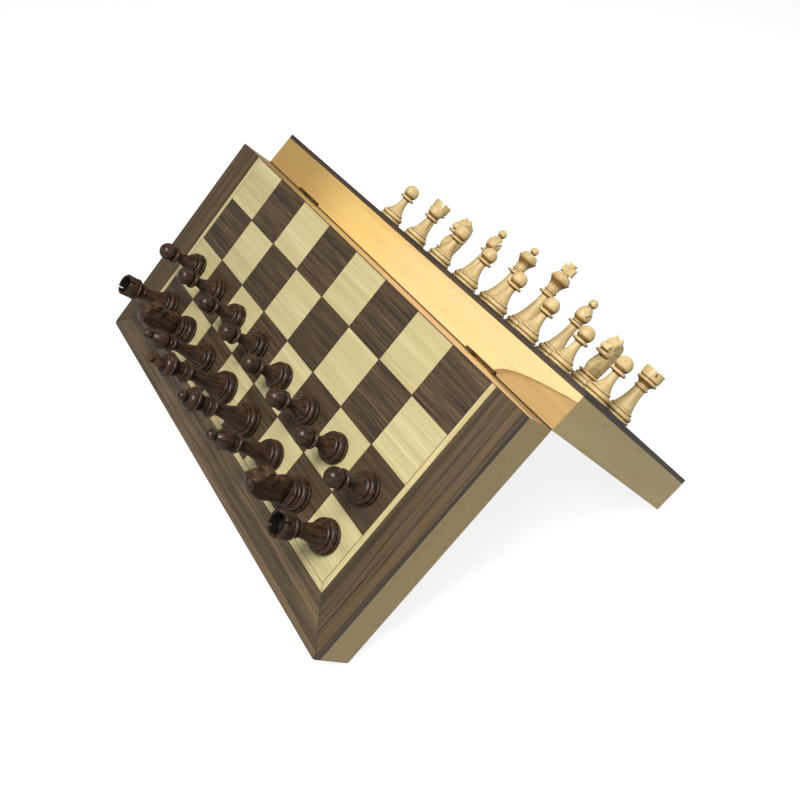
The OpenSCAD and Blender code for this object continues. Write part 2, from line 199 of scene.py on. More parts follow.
def start_block(name, size, place):
    """A cube stretched to a size in mm and set at a place in mm."""
    clear_selection()
    bpy.ops.mesh.primitive_cube_add(size=1)
    block = bpy.context.object
    block.name = name
    bpy.ops.object.mode_set(mode="EDIT")
    bpy.ops.transform.resize(value=[s * MM for s in size])
    bpy.ops.transform.translate(value=[p * MM for p in place])
    bpy.ops.object.mode_set(mode="OBJECT")
    return block


print("helpers ready")

# %% [markdown]
# ## A lathe
# Chessmen are turned on a lathe, and so are these. An outline is drawn point by
# point, as radius against height, by extruding a single vertex. Spinning it
# about the upright axis gives the solid. The first and last points sit on the
# axis, so merging doubles closes both poles, and only then are the normals set.

# %% Outlines and the lathe
TURN_STEPS = 72


def arc(r, z, radius, start, end, steps=6):
    """Points on part of a circle; 0 degrees points outwards and 90 up."""
    angles = [math.radians(start + (end - start) * k / steps) for k in range(steps + 1)]
    return [(r + radius * math.cos(a), z + radius * math.sin(a)) for a in angles]


def flare(r0, z0, r1, z1, upright="end", steps=12):
    """A hollow sweep between two points, upright at its end or its start."""
    side = abs(r1 - r0)
    radius = (side * side + (z1 - z0) ** 2) / (2 * side)
    points = []
    for k in range(steps + 1):
        z = z0 + (z1 - z0) * k / steps
        gone = (z1 - z) if upright == "end" else (z - z0)
        off = radius - math.sqrt(max(radius * radius - gone * gone, 0))
        points.append(((r1 if upright == "end" else r0) + off, z))
    return points


def lathe(name, outline):
    """Turns an outline of (radius, height) points in mm into a closed solid."""
    clear_selection()
    bpy.ops.mesh.primitive_plane_add(size=MM)
    piece = bpy.context.object
    piece.name = name
    bpy.ops.object.mode_set(mode="EDIT")
    bpy.ops.mesh.select_all(action="SELECT")
    bpy.ops.mesh.merge(type="CENTER")
    bpy.ops.transform.translate(value=(outline[0][0] * MM, 0, outline[0][1] * MM))
    for (r0, z0), (r1, z1) in zip(outline, outline[1:]):
        step = ((r1 - r0) * MM, 0, (z1 - z0) * MM)
        bpy.ops.mesh.extrude_region_move(TRANSFORM_OT_translate={"value": step})
    bpy.ops.mesh.select_all(action="SELECT")
    bpy.ops.mesh.spin(steps=TURN_STEPS, angle=math.tau, center=(0, 0, 0), axis=(0, 0, 1))
    bpy.ops.mesh.select_all(action="SELECT")
    bpy.ops.mesh.remove_doubles(threshold=1e-6)
    bpy.ops.mesh.normals_make_consistent(inside=False)
    bpy.ops.object.mode_set(mode="OBJECT")
    return piece


def relief(piece, cup_r=0, cup_z=0):
    """Stores how proud each point stands: 1 on a ridge, 0.5 level, 0 in a groove.

    Undersides count as sunk, so that the shade under them is painted in as a darker tone, and
    so does the inside of a cup, of a radius and from a height in mm, whose shade is painted the
    same way."""
    mesh = piece.data
    tilt = [0.0] * len(mesh.vertices)
    count = [0] * len(mesh.vertices)
    for edge in mesh.edges:
        for one, other in (edge.vertices, reversed(edge.vertices)):
            step = mesh.vertices[other].co - mesh.vertices[one].co
            if step.length > 0:
                tilt[one] += step.normalized().dot(mesh.vertices[one].normal)
                count[one] += 1
    # Painted shade: points that face down are pushed towards a groove, so they are painted
    # darker.
    under = [0.7 * max(0, -v.normal.z) for v in mesh.vertices]
    values = [min(max(0.5 - 1.2 * t / max(n, 1) - u, 0), 1)
              for t, n, u in zip(tilt, count, under)]
    # Painted shade: the inside of the cup counts as a full groove.
    for v in mesh.vertices:
        if v.co.z > cup_z * MM and math.hypot(v.co.x, v.co.y) < cup_r * MM:
            values[v.index] = 0.0
    mesh.attributes.new("relief", "FLOAT", "POINT").data.foreach_set("value", values)


print("the lathe makes", TURN_STEPS, "steps to a turn")

# %% [markdown]
# ## The foot that all the pieces share
# Every piece stands on the same foot: a thin plinth, a groove, a full bead and a
# small shoulder, hollowed underneath for its magnet. One function draws it for
# any base radius, so that the set keeps one family look.

# %% The foot
PAD = 0.8
MAGNET_R = 4.5
MAGNET_H = 3.0
FOOT_TOP = 9.2


def foot(base_r):
    """Outline from the magnet's bore, under the base and up to the shoulder."""
    bore_r, bore_top = MAGNET_R + 0.05, PAD + MAGNET_H + 0.05
    points = [(0, bore_top), (bore_r, bore_top), (bore_r, PAD)]
    points += arc(base_r - 0.45, PAD + 0.45, 0.45, -90, 0, 3)
    points += arc(base_r - 0.5, 1.9, 0.5, 0, 70, 3)
    points += [(base_r - 1.0, 2.45), (base_r - 1.05, 2.75)]
    points += arc(base_r - 2.45, 4.8, 2.15, -62, 62, 10)
    points += [(base_r - 2.0, 6.85), (base_r - 2.55, 7.0)]
    points += arc(base_r - 3.3, 8.0, 1.0, -45, 62, 6)
    points += [(base_r - 3.3, FOOT_TOP - 0.1)]
    return points


def foot_top(base_r):
    """Radius at which the stem leaves the foot."""
    return base_r - 3.6


print("foot is", FOOT_TOP, "mm tall")

# %% [markdown]
# ## The pawn
# The pawn is the plainest turning: a stem that sweeps up from the foot, a stout
# collar that is hollowed underneath, and a ball. The collar's lip is a small
# half circle, which is what catches the light on the real turning.

# %% The pawn
def size_of(kind):
    """Base radius and height of a kind of piece in mm, from its CAD node."""
    low, high = laid_flat(kind, half_axes["light"])
    return (high.y - low.y) / 2 / MM, (high.z - low.z) / MM


def collar(neck_r, lip_r, z, thick, top_r, hollow=0.9):
    """A collar: hollowed underneath, round at its lip, sloping in on top."""
    round_r = thick / 2
    lip = arc(lip_r - round_r, z + hollow + round_r, round_r, -85, 75, 7)
    under = flare(neck_r, z - 0.4, lip_r - round_r - 0.3, z + hollow, "start", 5)
    return under + lip + [(top_r, z + hollow + thick + 0.25)]


def ball(z, radius, neck_r, top=90):
    """A ball on the axis, starting where it is as thick as the neck."""
    low = -math.degrees(math.acos(min(neck_r / radius, 1)))
    points = arc(0, z, radius, low, top, 16)
    return points[:-1] + [(0, points[-1][1])]


def turn_pawn():
    base_r, height = size_of("light_pawn_1")
    head_r = 6.5
    head_z = height - head_r
    collar_z = head_z - head_r - 1.9
    outline = foot(base_r) + flare(foot_top(base_r), FOOT_TOP, 3.3, collar_z - 0.4)
    outline += collar(3.3, 6.9, collar_z, 2.5, 4.6)
    outline += ball(head_z, head_r, 4.4)
    return lathe("pawn_master", outline)


masters = {"pawn": turn_pawn()}
print("pawn:", len(masters["pawn"].data.polygons), "faces")

# %% [markdown]
# ## The rook
# A rook is a cup on a stem. The cup is hollowed out by the same spin, because
# its outline simply runs over the rim and back down inside. Four battlements
# are left when two thin saw cuts cross it; a Boolean with a thin block does
# that more surely than deleting faces, since the cut walls close themselves.

# %% The rook
ROOK_INNER = 6.3
ROOK_FLOOR = 35.3


def turn_rook():
    base_r, height = size_of("light_kings_rook")
    wall_z = height - 7.4
    rim_r, inner_r = 8.4, ROOK_INNER
    outline = foot(base_r) + flare(foot_top(base_r), FOOT_TOP, 4.7, wall_z - 9.2)
    outline += arc(5.1, wall_z - 8.4, 0.9, -80, 80, 6)
    outline += [(4.9, wall_z - 7.4)]
    outline += flare(5.0, wall_z - 7.1, 7.4, wall_z - 3.6, "start", 8)
    outline += arc(7.1, wall_z - 2.2, 1.45, -70, 75, 8)
    outline += [(7.2, wall_z - 0.7), (7.2, wall_z - 0.3)]
    outline += arc(rim_r - 0.7, wall_z + 0.4, 0.55, -80, 0, 3)
    outline += arc(rim_r - 0.35, height - 0.35, 0.35, 0, 90, 3)
    outline += arc(inner_r + 0.35, height - 0.35, 0.35, 90, 180, 3)
    outline += [(inner_r, ROOK_FLOOR + 0.8), (inner_r - 0.8, ROOK_FLOOR + 0.1),
                (0, ROOK_FLOOR)]
    rook = lathe("rook_master", outline)
    for angle in (45, 135):
        saw = start_block("saw", (3 * rim_r, 1.6, 8.6), (0, 0, height))
        edit_all(saw)
        bpy.ops.transform.rotate(value=math.radians(angle), orient_axis="Z",
                                 center_override=(0, 0, 0))
        bpy.ops.object.mode_set(mode="OBJECT")
        cut_with(rook, saw)
    return rook


masters["rook"] = turn_rook()
print("rook:", len(masters["rook"].data.polygons), "faces")

# %% [markdown]
# ## The bishop
# The bishop's mitre is an egg that narrows to a short neck under a small ball.
# One steep saw cut into its shoulder is what makes it a bishop. The cut is turned
# away from the long side of the board, so that nobody looks straight through it.

# %% The bishop
def egg(belly_r, belly_z, top_r, top_z, foot_r, foot_z):
    """A full curve that swells from a foot to a belly and closes to a top."""
    points = []
    for (r0, z0) in ((foot_r, foot_z), (top_r, top_z)):
        span = abs(z0 - belly_z)
        side = belly_r - r0
        radius = (side * side + span * span) / (2 * side)
        reach = math.degrees(math.asin(span / radius))
        if z0 < belly_z:
            points += arc(belly_r - radius, belly_z, radius, -reach, 0, 8)
        else:
            points += arc(belly_r - radius, belly_z, radius, 0, reach, 12)[1:]
    return points


SLOT_WIDTH = 2.0
SLOT_SLANT = 56
SLOT_TURN = 36


def saw_slot(bishop, depth_r, z):
    """Saws the mitre from a radius outwards, rising from a height, in mm."""
    saw = start_block("saw", (14, 30, SLOT_WIDTH), (7, 0, 0))
    edit_all(saw)
    bpy.ops.transform.rotate(value=math.radians(SLOT_SLANT), orient_axis="Y",
                             center_override=(0, 0, 0))
    bpy.ops.transform.translate(value=(depth_r * MM, 0, z * MM))
    bpy.ops.transform.rotate(value=math.radians(SLOT_TURN), orient_axis="Z",
                             center_override=(0, 0, 0))
    bpy.ops.object.mode_set(mode="OBJECT")
    cut_with(bishop, saw)


def turn_bishop():
    base_r, height = size_of("light_kings_bishop")
    ball_r = 3.95
    ball_z = height - ball_r
    mitre_top = ball_z - 3.3
    belly_z = mitre_top - 8.1
    mitre_foot = belly_z - 5.6
    collar_z = mitre_foot - 5.2
    outline = foot(base_r) + flare(foot_top(base_r), FOOT_TOP, 3.8, collar_z - 0.4)
    outline += collar(3.8, 7.1, collar_z, 2.2, 4.6)
    outline += [(4.4, collar_z + 3.9)] + arc(4.5, collar_z + 4.4, 0.5, -60, 60, 3)
    outline += egg(6.8, belly_z, 2.3, mitre_top, 4.4, mitre_foot)
    outline += [(2.1, mitre_top + 0.3)] + ball(ball_z, ball_r, 2.6)
    bishop = lathe("bishop_master", outline)
    saw_slot(bishop, 0.5, belly_z - 0.8)
    return bishop


masters["bishop"] = turn_bishop()
print("bishop:", len(masters["bishop"].data.polygons), "faces")

# %% [markdown]
# ## The queen and the king
# Both carry the same crown: a collar, a hollow, a thin ring, a bell that opens
# upwards, a rounded rim and a dome. The queen's dome ends in a ball; the king's
# carries a cross whose arms widen towards their ends.

# %% The queen and the king
def crown(neck_r, collar_r, rim_r, rim_z, dome_top):
    """Outline from the collar to the top of the dome."""
    ring_z = rim_z - 10.6
    outline = collar(neck_r, collar_r, rim_z - 16.6, 2.1, neck_r + 1.4)
    outline += flare(neck_r + 1.3, rim_z - 13.1, neck_r + 0.6, rim_z - 11.7, "end", 3)
    outline += arc(neck_r + 1.0, ring_z - 0.2, 0.85, -75, 75, 5)
    outline += flare(neck_r + 0.8, ring_z + 0.7, rim_r - 0.5, rim_z - 0.2, "start", 12)
    outline += arc(rim_r - 0.9, rim_z + 0.85, 0.9, -70, 80, 6)
    outline += [(rim_r - 1.4, rim_z + 1.9)]
    dome = egg(rim_r - 1.3, rim_z + 1.9, 1.7, dome_top, rim_r - 1.31, rim_z + 1.8)
    return outline + dome[9:]


def turn_queen():
    base_r, height = size_of("light_queen")
    ball_r = 3.6
    dome_top = height - 2 * ball_r + 0.6
    rim_z = dome_top - 6.2
    outline = foot(base_r) + flare(foot_top(base_r), FOOT_TOP, 4.1, rim_z - 17)
    outline += crown(4.1, 8.1, 8.9, rim_z, dome_top - 0.2)
    outline += [(1.8, dome_top + 0.1)] + ball(height - ball_r, ball_r, 2.2)
    return lathe("queen_master", outline)


CROSS_DEPTH = 4.2
CROSS_HEART = 5.0
ARM_FLARE = 1.5


def flared_cross(middle_z, reach):
    """A cross of four arms that widen outwards, facing along the x axis."""
    cross = start_block("cross", (CROSS_DEPTH, CROSS_HEART, CROSS_HEART), (0, 0, middle_z))
    for way in ((0, 1, 0), (0, -1, 0), (0, 0, 1), (0, 0, -1)):
        pick(cross)
        bpy.ops.object.mode_set(mode="EDIT")
        bpy.ops.mesh.select_mode(type="FACE")
        bpy.ops.mesh.select_all(action="DESELECT")
        bpy.ops.object.mode_set(mode="OBJECT")
        middle, outwards = Vector((0, 0, middle_z * MM)), Vector(way)
        end = max(cross.data.polygons,
                  key=lambda face: 100 * face.normal.dot(outwards)
                  - (face.center - middle).cross(outwards).length)
        end.select = True
        bpy.ops.object.mode_set(mode="EDIT")
        arm = [(reach - CROSS_HEART / 2) * MM * w for w in way]
        bpy.ops.mesh.extrude_region_move(TRANSFORM_OT_translate={"value": arm})
        widen = (1, 1, ARM_FLARE) if way[1] else (1, ARM_FLARE, 1)
        tip = [reach * MM * w for w in way]
        bpy.ops.transform.resize(value=widen, center_override=(tip[0], tip[1],
                                                               tip[2] + middle_z * MM))
        bpy.ops.mesh.select_mode(type="VERT")
    edit_all(cross)
    bpy.ops.mesh.normals_make_consistent(inside=False)
    bpy.ops.object.mode_set(mode="OBJECT")
    apply_modifier(cross, "BEVEL", width=0.3 * MM, segments=2, limit_method="ANGLE")
    return cross


def turn_king():
    base_r, height = size_of("light_king")
    reach = 6.3
    dome_top = height - 2 * reach + 1.2
    rim_z = dome_top - 5.6
    outline = foot(base_r) + flare(foot_top(base_r), FOOT_TOP, 4.3, rim_z - 17)
    outline += crown(4.3, 8.3, 9.2, rim_z, dome_top)
    outline += [(1.9, dome_top + 0.15), (1.5, dome_top + 0.5), (0, dome_top + 0.6)]
    king = lathe("king_master", outline)
    cut_with(king, flared_cross(height - reach, reach), "UNION")
    return king


masters["queen"] = turn_queen()
masters["king"] = turn_king()
print("king:", len(masters["king"].data.polygons), "faces")

# %% [markdown]
# ## The knight
# The knight is the one carved piece. A side view is drawn as a closed outline,
# filled, and sliced by many bisect cuts, so that its flat sheet has points all
# over. Extruding it gives two sides; every point is then pushed out to the
# thickness that the carving has there: full at the neck, thinner at the muzzle,
# crisp along the face and rounded along the back. The mouth is part of the
# outline; a saw cut parts the ears, and small rings leave the eyes and nostrils.

# %% The knight's outline
HORSE_FRONT = [(7.7, 11.6), (8.4, 13.0), (9.7, 16.0), (10.0, 18.8), (8.4, 22.6), (5.0, 26.8),
               (2.6, 28.2), (3.2, 29.4), (7.3, 28.5), (9.9, 29.2), (10.7, 30.5), (10.4, 31.3),
               (6.5, 32.6), (10.9, 33.1), (11.4, 34.3), (11.0, 36.2), (9.9, 37.3),
               (7.9, 38.3), (7.2, 39.3), (6.8, 41.2), (5.6, 42.8), (4.0, 43.6), (3.0, 44.4)]
HORSE_BACK = [(2.3, 47.5), (0.6, 46.6), (-0.8, 44.9), (-3.2, 44.1), (-6.0, 42.6), (-8.0, 39.4),
              (-9.2, 35.2), (-9.5, 30.6), (-9.2, 25.6), (-8.7, 20.6), (-8.0, 15.6),
              (-7.7, 11.6)]


def smooth_outline(points, steps=3):
    """More points on a soft curve through the given ones; the ends stay put."""
    out = []
    for k in range(len(points) - 1):
        before, a = Vector(points[max(k - 1, 0)]), Vector(points[k])
        b, after = Vector(points[k + 1]), Vector(points[min(k + 2, len(points) - 1)])
        for s in range(steps):
            t = s / steps
            out.append(0.5 * (2 * a + (b - before) * t
                              + (2 * before - 5 * a + 4 * b - after) * t ** 2
                              + (3 * a - before - 3 * b + after) * t ** 3))
    return out + [Vector(points[-1])]


def edge_distance(point, loop):
    """Distance from a point to a closed outline."""
    best = 1e9
    for a, b in zip(loop, loop[1:] + loop[:1]):
        along = b - a
        t = max(0, min(1, (point - a).dot(along) / max(along.length_squared, 1e-9)))
        best = min(best, (point - (a + along * t)).length)
    return best


horse_loop = [Vector(p) for p in HORSE_FRONT] + smooth_outline(HORSE_BACK)
print("knight's outline:", len(horse_loop), "points")

# %% Carving the knight
def ramp(value, start, end):
    """0 before start, 1 after end, soft in between."""
    t = max(0, min(1, (value - start) / (end - start)))
    return t * t * (3 - 2 * t)


def half_thickness(forward, z, from_edge):
    """Half the thickness of the carving at a place in side view, in mm."""
    body = 5.6 - 1.2 * ramp(z, 29, 32) * ramp(forward, 3, 9)
    body -= 1.3 * ramp(z, 42, 47) + 0.6 * ramp(-forward, 4, 9)
    body += 0.5 * math.exp(-((forward - 2.6) ** 2 + (z - 33.0) ** 2) / 8)
    under_flank = ((forward + 7.5) * 7.5 - (z - 13.2) * 8.2) / 11.1
    facet = 0.3 * max(0, under_flank, forward - 0.5) * (1 - ramp(z, 27.8, 29.0))
    body = max(body - facet, 2.6)
    crisp = ramp(forward, -2, 3)
    rounding, depth = 2.4 - 1.6 * crisp, 1.9 - 1.4 * crisp
    away = max(0, 1 - from_edge / rounding)
    return body - depth * (1 - math.sqrt(max(0, 1 - away * away)))


def carve_horse():
    """The horse's head, cut from its side view."""
    clear_selection()
    bpy.ops.mesh.primitive_plane_add(size=MM)
    horse = bpy.context.object
    horse.name = "horse"
    bpy.ops.object.mode_set(mode="EDIT")
    bpy.ops.mesh.select_all(action="SELECT")
    bpy.ops.mesh.merge(type="CENTER")
    first = horse_loop[0]
    bpy.ops.transform.translate(value=(-first.x * MM, 0, first.y * MM))
    for a, b in zip(horse_loop, horse_loop[1:]):
        step = ((a.x - b.x) * MM, 0, (b.y - a.y) * MM)
        bpy.ops.mesh.extrude_region_move(TRANSFORM_OT_translate={"value": step})
    bpy.ops.mesh.select_all(action="SELECT")
    bpy.ops.mesh.edge_face_add()
    for k in range(-10, 12):
        bpy.ops.mesh.select_all(action="SELECT")
        bpy.ops.mesh.bisect(plane_co=(k * MM, 0, 0), plane_no=(1, 0, 0))
    for k in range(12, 48):
        bpy.ops.mesh.select_all(action="SELECT")
        bpy.ops.mesh.bisect(plane_co=(0, 0, k * MM), plane_no=(0, 0, 1))
    bpy.ops.mesh.select_all(action="SELECT")
    bpy.ops.mesh.remove_doubles(threshold=2e-5)
    bpy.ops.mesh.extrude_region_move(TRANSFORM_OT_translate={"value": (0, MM, 0)})
    bpy.ops.object.mode_set(mode="OBJECT")
    for v in horse.data.vertices:
        here = Vector((-v.co.x / MM, v.co.z / MM))
        half = half_thickness(here.x, here.y, edge_distance(here, horse_loop))
        v.co.y = half * MM * (1 if v.co.y > MM / 2 else -1)
    edit_all(horse)
    bpy.ops.mesh.normals_make_consistent(inside=False)
    bpy.ops.object.mode_set(mode="OBJECT")
    return horse


horse = carve_horse()
print("horse:", len(horse.data.polygons), "faces")

# %% Eyes, mouth, ears and mane, and the knight's own turning
def tilted_saw(size, place, degrees, axis="Y"):
    """A block in mm, turned about its own middle and set in its place."""
    saw = start_block("saw", size, (0, 0, 0))
    edit_all(saw)
    bpy.ops.transform.rotate(value=math.radians(degrees), orient_axis=axis,
                             center_override=(0, 0, 0))
    bpy.ops.transform.translate(value=[p * MM for p in place])
    bpy.ops.object.mode_set(mode="OBJECT")
    return saw


def ring_cutter(place, radius, thick, turn=(math.pi / 2, 0, 0)):
    """A small ring that leaves a round groove where it is cut away."""
    clear_selection()
    bpy.ops.mesh.primitive_torus_add(major_radius=radius * MM, minor_radius=thick * MM,
                                     major_segments=32, minor_segments=8,
                                     location=[p * MM for p in place], rotation=turn)
    bpy.ops.object.transform_apply()
    return bpy.context.object


def finish_knight(head):
    """Cuts the details into the head and sets it on its turned base."""
    cut_with(head, tilted_saw((6, 4.4, 4.4), (-1.6, 0, 47.5), 45, "X"))
    for side in (-1, 1):
        for ring, groove in ((1.9, 0.34), (0.6, 0.3)):
            level = side * half_thickness(4.4, 38.4, 9)
            cut_with(head, ring_cutter((-4.4, level, 38.4), ring, groove))
        nostril = side * half_thickness(9.6, 35.2, 1.4)
        cut_with(head, ring_cutter((-9.6, nostril, 35.2), 0.4, 0.35))
        cut_with(head, ring_cutter((4.0, side * 5.55, 26), 9.4, 0.3))
    base_r, height = size_of("light_kings_knight")
    neck = base_r - 3.0
    outline = foot(base_r) + [(neck - 0.7, FOOT_TOP + 0.1), (neck - 0.9, FOOT_TOP + 1.1)]
    outline += arc(neck - 0.35, FOOT_TOP + 2.3, 0.9, -70, 70, 6)
    outline += [(neck - 1.2, FOOT_TOP + 3.3), (0, FOOT_TOP + 3.35)]
    knight = lathe("knight_master", outline)
    cut_with(knight, head, "UNION")
    return knight


masters["knight"] = finish_knight(horse)
for kind, master in masters.items():
    smooth(master)
    # The rook's cup counts as a groove, so that its inside is painted in shade.
    relief(master, ROOK_INNER + 0.2 if kind == "rook" else 0, ROOK_FLOOR - 0.1)
    print(kind, "rises to", round(max(v.co.z for v in master.data.vertices) / MM, 1), "mm")

# %% [markdown]
# ## Wiring materials from code
# A material is a small network. A few helpers keep the wiring readable: one adds
# a node, one sets a socket or wires it, and the rest name common steps such as
# a bit of arithmetic, a soft step or a mix of two colours. Colours are given as
# they look on a screen, 0 to 255, and turned into the linear values shaders use.

# %% Node helpers
def add_node(tree, kind, **settings):
    node = tree.nodes.new("ShaderNode" + kind)
    for key, value in settings.items():
        setattr(node, key, value)
    return node


def feed(tree, socket, value):
    """Wires a socket to an output, or gives it a plain value."""
    if isinstance(value, bpy.types.NodeSocket):
        tree.links.new(value, socket)
    else:
        socket.default_value = value


def maths(tree, operation, *values):
    node = add_node(tree, "Math", operation=operation)
    for socket, value in zip(node.inputs, values):
        feed(tree, socket, value)
    return node.outputs[0]


def vectors(tree, operation, *values):
    node = add_node(tree, "VectorMath", operation=operation)
    sockets = [node.inputs[0], node.inputs["Scale"]] if operation == "SCALE" else node.inputs
    for socket, value in zip(sockets, values):
        feed(tree, socket, value)
    return node.outputs["Value" if operation in ("LENGTH", "DISTANCE") else "Vector"]


def soft_step(tree, value, start, end, low=0.0, high=1.0):
    """A smooth change from low to high as the value goes from start to end."""
    node = add_node(tree, "MapRange", interpolation_type="SMOOTHSTEP")
    for name, item in (("Value", value), ("From Min", start), ("From Max", end),
                       ("To Min", low), ("To Max", high)):
        feed(tree, node.inputs[name], item)
    return node.outputs["Result"]


def mix(tree, factor, one, other):
    """A mix of two colours."""
    node = add_node(tree, "Mix", data_type="RGBA")
    for index, item in ((0, factor), (6, one), (7, other)):
        feed(tree, node.inputs[index], item)
    return node.outputs[2]


def noise(tree, vector, scale=1.0, detail=2.0, seed=0.0, rough=0.5):
    node = add_node(tree, "TexNoise", noise_dimensions="4D")
    for name, item in (("Vector", vector), ("Scale", scale), ("Detail", detail),
                       ("W", seed), ("Roughness", rough)):
        feed(tree, node.inputs[name], item)
    return node.outputs["Fac"]


def split(tree, vector):
    node = add_node(tree, "SeparateXYZ")
    feed(tree, node.inputs[0], vector)
    return node.outputs


def join(tree, x, y, z):
    node = add_node(tree, "CombineXYZ")
    for socket, value in zip(node.inputs, (x, y, z)):
        feed(tree, socket, value)
    return node.outputs[0]


def seen(red, green, blue):
    """A colour as seen on a screen, as linear RGBA."""
    parts = [c / 255 for c in (red, green, blue)]
    return [c / 12.92 if c <= 0.04045 else ((c + 0.055) / 1.055) ** 2.4
            for c in parts] + [1]


def new_group(name, inputs, outputs):
    """An empty node group with named sockets; gives its tree and its two ends."""
    tree = bpy.data.node_groups.new(name, "ShaderNodeTree")
    for label, kind, value in inputs:
        socket = tree.interface.new_socket(label, in_out="INPUT",
                                           socket_type="NodeSocket" + kind)
        if value is not None:
            socket.default_value = value
    for label, kind in outputs:
        tree.interface.new_socket(label, in_out="OUTPUT", socket_type="NodeSocket" + kind)
    ends = tree.nodes.new("NodeGroupInput").outputs, tree.nodes.new("NodeGroupOutput").inputs
    return tree, *ends


def use_group(tree, group, **values):
    """Places a group in a material with its own values."""
    node = add_node(tree, "Group", node_tree=group)
    for name, value in values.items():
        feed(tree, node.inputs[name], value)
    return node.outputs


print("node helpers ready")

# %% [markdown]
# ## Wood, as a group
# Every wood here shows the same three things at different sizes: broad streaks
# from the year rings, fine fibres, and short dark pores. All of them are drawn
# out along the grain. One group makes the three masks from a position whose y
# runs along the grain, and each material gives it its own sizes and seed.

# %% The wood figure group
figure, ins, outs = new_group(
    "wood figure",
    (("Place", "Vector", None), ("Streak", "Float", 0.004), ("Fibre", "Float", 0.0005),
     ("Length", "Float", 14.0), ("Seed", "Float", 0.0)),
    (("Streaks", "Float"), ("Fibres", "Float"), ("Pores", "Float")))
wander = noise(figure, ins["Place"], 22.0, 1.0, ins["Seed"])
bent = vectors(figure, "ADD", ins["Place"],
               join(figure, maths(figure, "MULTIPLY", wander, 0.003), 0.0, 0.0))
shrink = maths(figure, "DIVIDE", 1.0, ins["Length"])
drawn = vectors(figure, "MULTIPLY", bent, join(figure, 1.0, shrink, 1.0))
per_streak = maths(figure, "DIVIDE", 1.0, ins["Streak"])
per_fibre = maths(figure, "DIVIDE", 1.0, ins["Fibre"])
streaks = noise(figure, vectors(figure, "SCALE", drawn, per_streak), 1.0, 3.0, ins["Seed"], 0.6)
fibres = noise(figure, vectors(figure, "SCALE", drawn, per_fibre), 1.0, 2.0, ins["Seed"])
pores = noise(figure, vectors(figure, "SCALE", drawn, per_fibre), 1.7, 1.0,
              maths(figure, "ADD", ins["Seed"], 7.3))
feed(figure, outs["Streaks"], soft_step(figure, streaks, 0.3, 0.7))
feed(figure, outs["Fibres"], soft_step(figure, fibres, 0.25, 0.75))
feed(figure, outs["Pores"], soft_step(figure, pores, 0.62, 0.72))
print("group:", figure.name)

# %% [markdown]
# ## Squares cut from different boards
# Neighbouring squares never share their grain, because each was cut from a
# different place. This group works out which square a point lies on, and moves
# the pattern by a random step for that square. It also gives each square a tone
# of its own and marks the thin dark line of glue round it.

# %% The square lots group
lots, ins, outs = new_group(
    "square lots", (("Place", "Vector", None), ("Pitch", "Float", 0.04)),
    (("Moved", "Vector"), ("Tone", "Float"), ("Joint", "Float")))
cells = vectors(lots, "SCALE", ins["Place"], maths(lots, "DIVIDE", 1.0, ins["Pitch"]))
x, y, z = split(lots, cells)
cell = join(lots, maths(lots, "FLOOR", x), maths(lots, "FLOOR", y), 0.0)
lot = add_node(lots, "TexWhiteNoise", noise_dimensions="3D")
feed(lots, lot.inputs["Vector"], cell)
feed(lots, outs["Moved"], vectors(lots, "ADD", ins["Place"], lot.outputs["Color"]))
feed(lots, outs["Tone"], lot.outputs["Value"])
gaps = [maths(lots, "SUBTRACT", 0.5, maths(lots, "ABSOLUTE", maths(
    lots, "SUBTRACT", maths(lots, "FRACT", axis), 0.5))) for axis in (x, y)]
near = maths(lots, "MULTIPLY", maths(lots, "MINIMUM", *gaps), ins["Pitch"])
feed(lots, outs["Joint"], soft_step(lots, near, 0.00025, 0.0006, 1.0, 0.0))
print("group:", lots.name)

# %% [markdown]
# ## Rubbed ridges, filled grooves and painted light
# Stain and polish gather in the grooves of a turning and rub off its ridges, and
# the same masks also paint light: grooves and undersides darker as shade, ridges
# lighter as a highlight. The relief stored on each piece says which is which, and
# this group turns it into two masks, broken up a little so that neither is even.

# %% The group for rubbing, stain and painted light
wear, ins, outs = new_group(
    "wear", (("Relief", "Float", 0.5), ("Place", "Vector", None)),
    (("Ridge", "Float"), ("Groove", "Float")))
patches = noise(wear, ins["Place"], 180.0, 2.0)
uneven = maths(wear, "MULTIPLY_ADD", maths(wear, "SUBTRACT", patches, 0.5), 0.25,
               ins["Relief"])
# Ridge paints rubbed edges together with a painted highlight; Groove paints stain together with
# painted shade.
feed(wear, outs["Ridge"], soft_step(wear, uneven, 0.58, 0.85))
feed(wear, outs["Groove"], soft_step(wear, uneven, 0.42, 0.2))
print("group:", wear.name)

# %% Starting and finishing a material
def start_material(name, side=None):
    """A material's tree, its shader and a position in the flat half's axes."""
    material = bpy.data.materials.new(name)
    material.use_nodes = True
    tree = material.node_tree
    place = add_node(tree, "TexCoord").outputs["Object"]
    if side:
        lay = add_node(tree, "Mapping", vector_type="TEXTURE")
        feed(tree, lay.inputs["Vector"], place)
        lay.inputs["Location"].default_value = half_axes[side].translation
        lay.inputs["Rotation"].default_value = half_axes[side].to_euler()
        place = lay.outputs[0]
    return material, tree, tree.nodes["Principled BSDF"], place


def raise_by(tree, shader, height, strength, depth):
    """Bump from a height mask, depth in metres."""
    bump = add_node(tree, "Bump")
    bump.inputs["Strength"].default_value = strength
    bump.inputs["Distance"].default_value = depth
    feed(tree, bump.inputs["Height"], height)
    tree.links.new(bump.outputs[0], shader.inputs["Normal"])


def satin(tree, shader, fibres, rough, strength, depth):
    """A satin finish: the fibres vary the roughness and raise the surface."""
    feed(tree, shader.inputs["Roughness"], soft_step(tree, fibres, 0, 1, *rough))
    raise_by(tree, shader, fibres, strength, depth)


def swap(tree, place, order):
    """The same position with its axes in another order, such as 'yxz'."""
    parts = dict(zip("xyz", split(tree, place)))
    return join(tree, *(parts[letter] for letter in order))


print("ready for materials")
